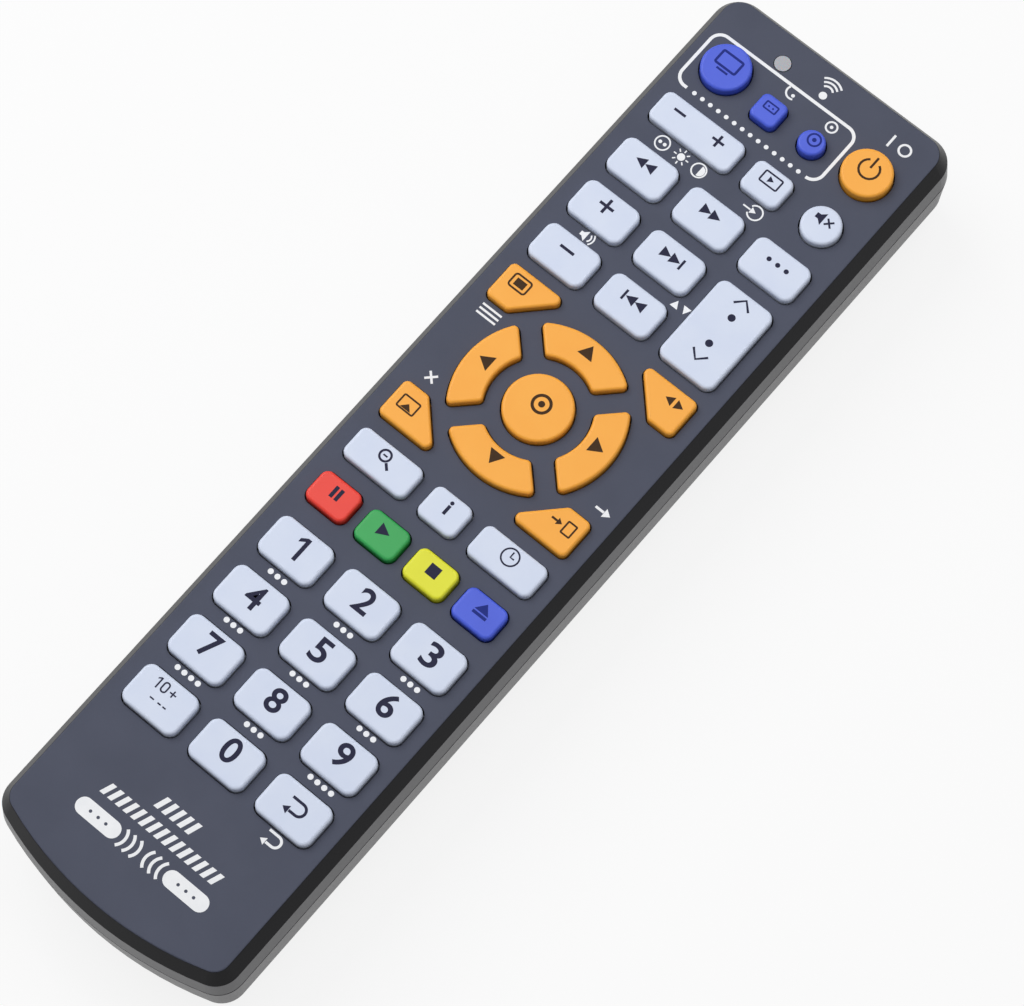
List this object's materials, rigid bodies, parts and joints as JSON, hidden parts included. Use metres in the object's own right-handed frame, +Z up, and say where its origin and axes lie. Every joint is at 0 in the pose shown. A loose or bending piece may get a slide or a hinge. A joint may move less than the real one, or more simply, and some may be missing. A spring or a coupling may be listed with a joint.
{
  "type": "universal remote control",
  "caption": "Slim hand-held remote control with a flat keyed face, a ring of arrow keys, rocker keys and a rounded back with a battery door.",
  "frame": {"origin": "on the table, under the middle of the case as it lies on its back", "axes": "+X is the user's right, +Y points to the infrared end, +Z is up, out of the keys"},
  "size_m": [0.0516, 0.2, 0.025],
  "materials": {
    "case_face": "fine matte texture, dark blue-grey",
    "case_back": "fine satin texture, black",
    "catch": "satin, dark grey",
    "feet": "smooth, black",
    "key_light": "satin silicone, pale blue-white",
    "key_orange": "satin silicone, orange",
    "key_red": "satin silicone, red",
    "key_green": "satin silicone, green",
    "key_yellow": "satin silicone, yellow",
    "key_blue": "satin silicone, blue",
    "mat": "matte silicone, dark grey",
    "board": "green solder mask",
    "light_guide": "milky, smooth",
    "emitter": "dark tinted epoxy",
    "receiver": "black epoxy",
    "chip": "moulded epoxy",
    "crystal_can": "drawn metal can",
    "capacitor_sleeve": "printed sleeve",
    "cell_wrap": "plain coated wrap",
    "contact_metal": "nickel plated spring steel"
  },
  "bodies": {
    "case": {"upper_case": "case_face", "lower_case": "case_back", "rear_feet": "feet", "keypad_mat": "mat", "circuit_board": "board", "indicator_light": "light_guide", "infrared_emitter": "emitter", "learning_receiver": "receiver", "controller_chip": "chip", "crystal": "crystal_can", "capacitor": "capacitor_sleeve", "batteries": "cell_wrap", "battery_springs": "contact_metal", "battery_plates": "contact_metal"},
    "key_1": {"key_1": "key_light"},
    "key_2": {"key_2": "key_light"},
    "key_3": {"key_3": "key_light"},
    "key_4": {"key_4": "key_light"},
    "key_5": {"key_5": "key_light"},
    "key_6": {"key_6": "key_light"},
    "key_7": {"key_7": "key_light"},
    "key_8": {"key_8": "key_light"},
    "key_9": {"key_9": "key_light"},
    "key_10_plus": {"key_10_plus": "key_light"},
    "key_0": {"key_0": "key_light"},
    "key_return": {"key_return": "key_light"},
    "key_red": {"key_red": "key_red"},
    "key_green": {"key_green": "key_green"},
    "key_yellow": {"key_yellow": "key_yellow"},
    "key_blue": {"key_blue": "key_blue"},
    "key_zoom": {"key_zoom": "key_light"},
    "key_timer": {"key_timer": "key_light"},
    "key_info": {"key_info": "key_light"},
    "key_volume_down": {"key_volume_down": "key_light"},
    "key_previous": {"key_previous": "key_light"},
    "key_volume_up": {"key_volume_up": "key_light"},
    "key_next": {"key_next": "key_light"},
    "key_rewind": {"key_rewind": "key_light"},
    "key_forward": {"key_forward": "key_light"},
    "key_system": {"key_system": "key_light"},
    "key_channel": {"key_channel": "key_light"},
    "key_level": {"key_level": "key_light"},
    "key_source": {"key_source": "key_light"},
    "key_mute": {"key_mute": "key_light"},
    "key_power": {"key_power": "key_orange"},
    "key_television": {"key_television": "key_blue"},
    "key_receiver": {"key_receiver": "key_blue"},
    "key_player": {"key_player": "key_blue"},
    "key_ok": {"key_ok": "key_orange"},
    "key_up": {"key_up": "key_orange"},
    "key_left": {"key_left": "key_orange"},
    "key_down": {"key_down": "key_orange"},
    "key_right": {"key_right": "key_orange"},
    "key_menu": {"key_menu": "key_orange"},
    "key_audio": {"key_audio": "key_orange"},
    "key_picture": {"key_picture": "key_orange"},
    "key_exit": {"key_exit": "key_orange"},
    "battery_door": {"battery_door": "case_back"},
    "door_catch": {"door_catch": "catch"}
  },
  "joints": [
    {"name": "channel_rock", "type": "hinge", "parent": "case", "child": "key_channel", "pos_m": [0.01475, 0.0449, 0.0213], "axis": [1, 0, 0], "range_deg": [-4, 4], "stiffness_Nm_per_rad": 0.05},
    {"name": "level_rock", "type": "hinge", "parent": "case", "child": "key_level", "pos_m": [-0.012, 0.0724, 0.0213], "axis": [0, 1, 0], "range_deg": [-4, 4], "stiffness_Nm_per_rad": 0.05},
    {"name": "door_swing", "type": "hinge", "parent": "case", "child": "battery_door", "pos_m": [0, -0.0093, 0.0002], "axis": [1, 0, 0], "range_deg": [0, 70]},
    {"name": "catch_bend", "type": "hinge", "parent": "battery_door", "child": "door_catch", "pos_m": [0, -0.0714, 0.0085], "axis": [1, 0, 0], "range_deg": [0, 8], "stiffness_Nm_per_rad": 0.02},
    {"name": "1_press", "type": "slide", "parent": "case", "child": "key_1", "axis": [0, 0, -1], "range_m": [0, 0.001], "stiffness_N_per_m": 600},
    {"name": "2_press", "type": "slide", "parent": "case", "child": "key_2", "axis": [0, 0, -1], "range_m": [0, 0.001], "stiffness_N_per_m": 600},
    {"name": "3_press", "type": "slide", "parent": "case", "child": "key_3", "axis": [0, 0, -1], "range_m": [0, 0.001], "stiffness_N_per_m": 600},
    {"name": "4_press", "type": "slide", "parent": "case", "child": "key_4", "axis": [0, 0, -1], "range_m": [0, 0.001], "stiffness_N_per_m": 600},
    {"name": "5_press", "type": "slide", "parent": "case", "child": "key_5", "axis": [0, 0, -1], "range_m": [0, 0.001], "stiffness_N_per_m": 600},
    {"name": "6_press", "type": "slide", "parent": "case", "child": "key_6", "axis": [0, 0, -1], "range_m": [0, 0.001], "stiffness_N_per_m": 600},
    {"name": "7_press", "type": "slide", "parent": "case", "child": "key_7", "axis": [0, 0, -1], "range_m": [0, 0.001], "stiffness_N_per_m": 600},
    {"name": "8_press", "type": "slide", "parent": "case", "child": "key_8", "axis": [0, 0, -1], "range_m": [0, 0.001], "stiffness_N_per_m": 600},
    {"name": "9_press", "type": "slide", "parent": "case", "child": "key_9", "axis": [0, 0, -1], "range_m": [0, 0.001], "stiffness_N_per_m": 600},
    {"name": "10_plus_press", "type": "slide", "parent": "case", "child": "key_10_plus", "axis": [0, 0, -1], "range_m": [0, 0.001], "stiffness_N_per_m": 600},
    {"name": "0_press", "type": "slide", "parent": "case", "child": "key_0", "axis": [0, 0, -1], "range_m": [0, 0.001], "stiffness_N_per_m": 600},
    {"name": "return_press", "type": "slide", "parent": "case", "child": "key_return", "axis": [0, 0, -1], "range_m": [0, 0.001], "stiffness_N_per_m": 600},
    {"name": "red_press", "type": "slide", "parent": "case", "child": "key_red", "axis": [0, 0, -1], "range_m": [0, 0.001], "stiffness_N_per_m": 600},
    {"name": "green_press", "type": "slide", "parent": "case", "child": "key_green", "axis": [0, 0, -1], "range_m": [0, 0.001], "stiffness_N_per_m": 600},
    {"name": "yellow_press", "type": "slide", "parent": "case", "child": "key_yellow", "axis": [0, 0, -1], "range_m": [0, 0.001], "stiffness_N_per_m": 600},
    {"name": "blue_press", "type": "slide", "parent": "case", "child": "key_blue", "axis": [0, 0, -1], "range_m": [0, 0.001], "stiffness_N_per_m": 600},
    {"name": "zoom_press", "type": "slide", "parent": "case", "child": "key_zoom", "axis": [0, 0, -1], "range_m": [0, 0.001], "stiffness_N_per_m": 600},
    {"name": "timer_press", "type": "slide", "parent": "case", "child": "key_timer", "axis": [0, 0, -1], "range_m": [0, 0.001], "stiffness_N_per_m": 600},
    {"name": "info_press", "type": "slide", "parent": "case", "child": "key_info", "axis": [0, 0, -1], "range_m": [0, 0.001], "stiffness_N_per_m": 600},
    {"name": "volume_down_press", "type": "slide", "parent": "case", "child": "key_volume_down", "axis": [0, 0, -1], "range_m": [0, 0.001], "stiffness_N_per_m": 600},
    {"name": "previous_press", "type": "slide", "parent": "case", "child": "key_previous", "axis": [0, 0, -1], "range_m": [0, 0.001], "stiffness_N_per_m": 600},
    {"name": "volume_up_press", "type": "slide", "parent": "case", "child": "key_volume_up", "axis": [0, 0, -1], "range_m": [0, 0.001], "stiffness_N_per_m": 600},
    {"name": "next_press", "type": "slide", "parent": "case", "child": "key_next", "axis": [0, 0, -1], "range_m": [0, 0.001], "stiffness_N_per_m": 600},
    {"name": "rewind_press", "type": "slide", "parent": "case", "child": "key_rewind", "axis": [0, 0, -1], "range_m": [0, 0.001], "stiffness_N_per_m": 600},
    {"name": "forward_press", "type": "slide", "parent": "case", "child": "key_forward", "axis": [0, 0, -1], "range_m": [0, 0.001], "stiffness_N_per_m": 600},
    {"name": "system_press", "type": "slide", "parent": "case", "child": "key_system", "axis": [0, 0, -1], "range_m": [0, 0.001], "stiffness_N_per_m": 600},
    {"name": "source_press", "type": "slide", "parent": "case", "child": "key_source", "axis": [0, 0, -1], "range_m": [0, 0.001], "stiffness_N_per_m": 600},
    {"name": "mute_press", "type": "slide", "parent": "case", "child": "key_mute", "axis": [0, 0, -1], "range_m": [0, 0.001], "stiffness_N_per_m": 600},
    {"name": "power_press", "type": "slide", "parent": "case", "child": "key_power", "axis": [0, 0, -1], "range_m": [0, 0.001], "stiffness_N_per_m": 600},
    {"name": "television_press", "type": "slide", "parent": "case", "child": "key_television", "axis": [0, 0, -1], "range_m": [0, 0.001], "stiffness_N_per_m": 600},
    {"name": "receiver_press", "type": "slide", "parent": "case", "child": "key_receiver", "axis": [0, 0, -1], "range_m": [0, 0.001], "stiffness_N_per_m": 600},
    {"name": "player_press", "type": "slide", "parent": "case", "child": "key_player", "axis": [0, 0, -1], "range_m": [0, 0.001], "stiffness_N_per_m": 600},
    {"name": "ok_press", "type": "slide", "parent": "case", "child": "key_ok", "axis": [0, 0, -1], "range_m": [0, 0.001], "stiffness_N_per_m": 600},
    {"name": "up_press", "type": "slide", "parent": "case", "child": "key_up", "axis": [0, 0, -1], "range_m": [0, 0.001], "stiffness_N_per_m": 600},
    {"name": "left_press", "type": "slide", "parent": "case", "child": "key_left", "axis": [0, 0, -1], "range_m": [0, 0.001], "stiffness_N_per_m": 600},
    {"name": "down_press", "type": "slide", "parent": "case", "child": "key_down", "axis": [0, 0, -1], "range_m": [0, 0.001], "stiffness_N_per_m": 600},
    {"name": "right_press", "type": "slide", "parent": "case", "child": "key_right", "axis": [0, 0, -1], "range_m": [0, 0.001], "stiffness_N_per_m": 600},
    {"name": "menu_press", "type": "slide", "parent": "case", "child": "key_menu", "axis": [0, 0, -1], "range_m": [0, 0.001], "stiffness_N_per_m": 600},
    {"name": "audio_press", "type": "slide", "parent": "case", "child": "key_audio", "axis": [0, 0, -1], "range_m": [0, 0.001], "stiffness_N_per_m": 600},
    {"name": "picture_press", "type": "slide", "parent": "case", "child": "key_picture", "axis": [0, 0, -1], "range_m": [0, 0.001], "stiffness_N_per_m": 600},
    {"name": "exit_press", "type": "slide", "parent": "case", "child": "key_exit", "axis": [0, 0, -1], "range_m": [0, 0.001], "stiffness_N_per_m": 600}
  ]
}
